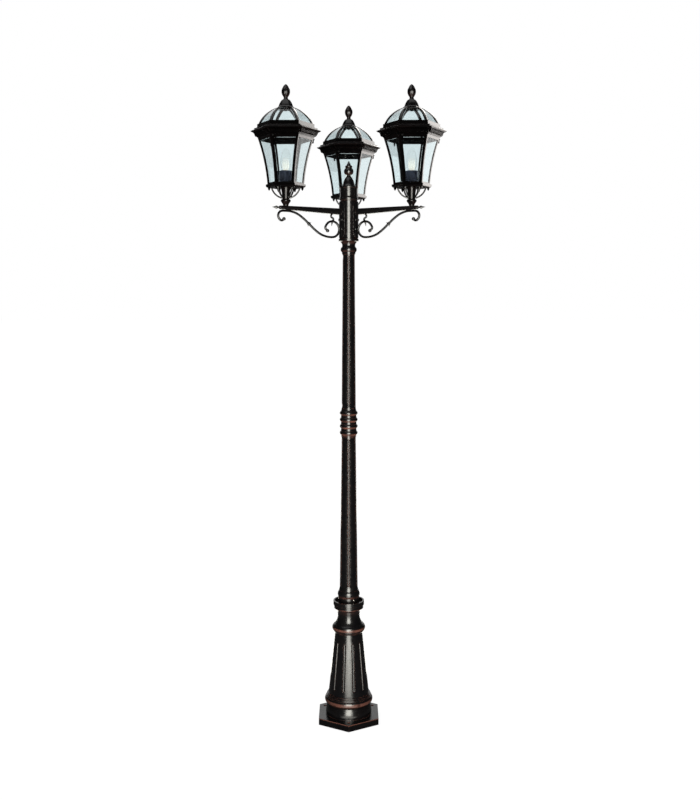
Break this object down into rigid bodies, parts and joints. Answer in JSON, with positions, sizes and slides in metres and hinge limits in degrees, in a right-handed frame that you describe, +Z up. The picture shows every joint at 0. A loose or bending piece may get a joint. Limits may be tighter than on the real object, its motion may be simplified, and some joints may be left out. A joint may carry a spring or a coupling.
{
  "type": "triple head lamp post",
  "caption": "Free-standing garden lamp post: fluted pedestal and tapered column carrying a hub, scrolled arms and hexagonal glazed lanterns with domed roofs",
  "frame": {"origin": "on the ground at the middle of the foot, which is the centre of the anchor circle", "axes": "+Z up the post; +Y towards the back arm; +X to the right as the post is seen from the front, with two arms forward"},
  "size_m": [0.667, 0.5778, 2.196],
  "materials": {
    "black_cast": "satin near-black paint, rubbed to bronze on the rings' edges",
    "clear_glass": "clear, slightly cyan, bevelled edges",
    "bulb_glass": "clear candle bulb with a warm glow",
    "lampholder": "dark slate moulding",
    "bright_screws": "plated",
    "terminal_block": "moulded",
    "plated_tube": "zinc plated"
  },
  "bodies": {
    "post": {"pedestal_casting": "black_cast", "pedestal_set_screws": "bright_screws", "terminal_bracket": "plated_tube", "bracket_screw": "bright_screws", "terminal_block": "terminal_block", "lower_column": "black_cast", "column_nipple": "plated_tube", "joint_collar": "black_cast", "upper_column": "black_cast", "hub": "black_cast", "hub_cap": "black_cast", "post_finial": "black_cast", "arm_beam_left": "black_cast", "arm_bolts_left": "black_cast", "arm_tip_left": "black_cast", "arm_scroll_left": "black_cast", "lantern_stem_left": "black_cast", "stem_straps_left": "black_cast", "floor_ring_left": "black_cast", "cage_frame_left": "black_cast", "cage_panes_left": "clear_glass", "lampholder_left": "lampholder", "arm_beam_right": "black_cast", "arm_bolts_right": "black_cast", "arm_tip_right": "black_cast", "arm_scroll_right": "black_cast", "lantern_stem_right": "black_cast", "stem_straps_right": "black_cast", "floor_ring_right": "black_cast", "cage_frame_right": "black_cast", "cage_panes_right": "clear_glass", "lampholder_right": "lampholder", "arm_beam_back": "black_cast", "arm_bolts_back": "black_cast", "arm_tip_back": "black_cast", "arm_scroll_back": "black_cast", "lantern_stem_back": "black_cast", "stem_straps_back": "black_cast", "floor_ring_back": "black_cast", "cage_frame_back": "black_cast", "cage_panes_back": "clear_glass", "lampholder_back": "lampholder"},
    "roof_left": {"roof_frame_left": "black_cast", "roof_panes_left": "clear_glass", "roof_screws_left": "bright_screws", "roof_cap_left": "black_cast", "roof_finial_left": "black_cast"},
    "bulb_unit_left": {"bulb_left": "bulb_glass"},
    "roof_right": {"roof_frame_right": "black_cast", "roof_panes_right": "clear_glass", "roof_screws_right": "bright_screws", "roof_cap_right": "black_cast", "roof_finial_right": "black_cast"},
    "bulb_unit_right": {"bulb_right": "bulb_glass"},
    "roof_back": {"roof_frame_back": "black_cast", "roof_panes_back": "clear_glass", "roof_screws_back": "bright_screws", "roof_cap_back": "black_cast", "roof_finial_back": "black_cast"},
    "bulb_unit_back": {"bulb_back": "bulb_glass"}
  },
  "joints": [
    {"name": "roof_lift_left", "type": "slide", "parent": "post", "child": "roof_left", "axis": [0, 0, 1], "range_m": [0, 0.15]},
    {"name": "bulb_draw_left", "type": "slide", "parent": "post", "child": "bulb_unit_left", "axis": [0, 0, 1], "range_m": [0, 0.026]},
    {"name": "roof_lift_right", "type": "slide", "parent": "post", "child": "roof_right", "axis": [0, 0, 1], "range_m": [0, 0.15]},
    {"name": "bulb_draw_right", "type": "slide", "parent": "post", "child": "bulb_unit_right", "axis": [0, 0, 1], "range_m": [0, 0.026]},
    {"name": "roof_lift_back", "type": "slide", "parent": "post", "child": "roof_back", "axis": [0, 0, 1], "range_m": [0, 0.15]},
    {"name": "bulb_draw_back", "type": "slide", "parent": "post", "child": "bulb_unit_back", "axis": [0, 0, 1], "range_m": [0, 0.026]}
  ]
}
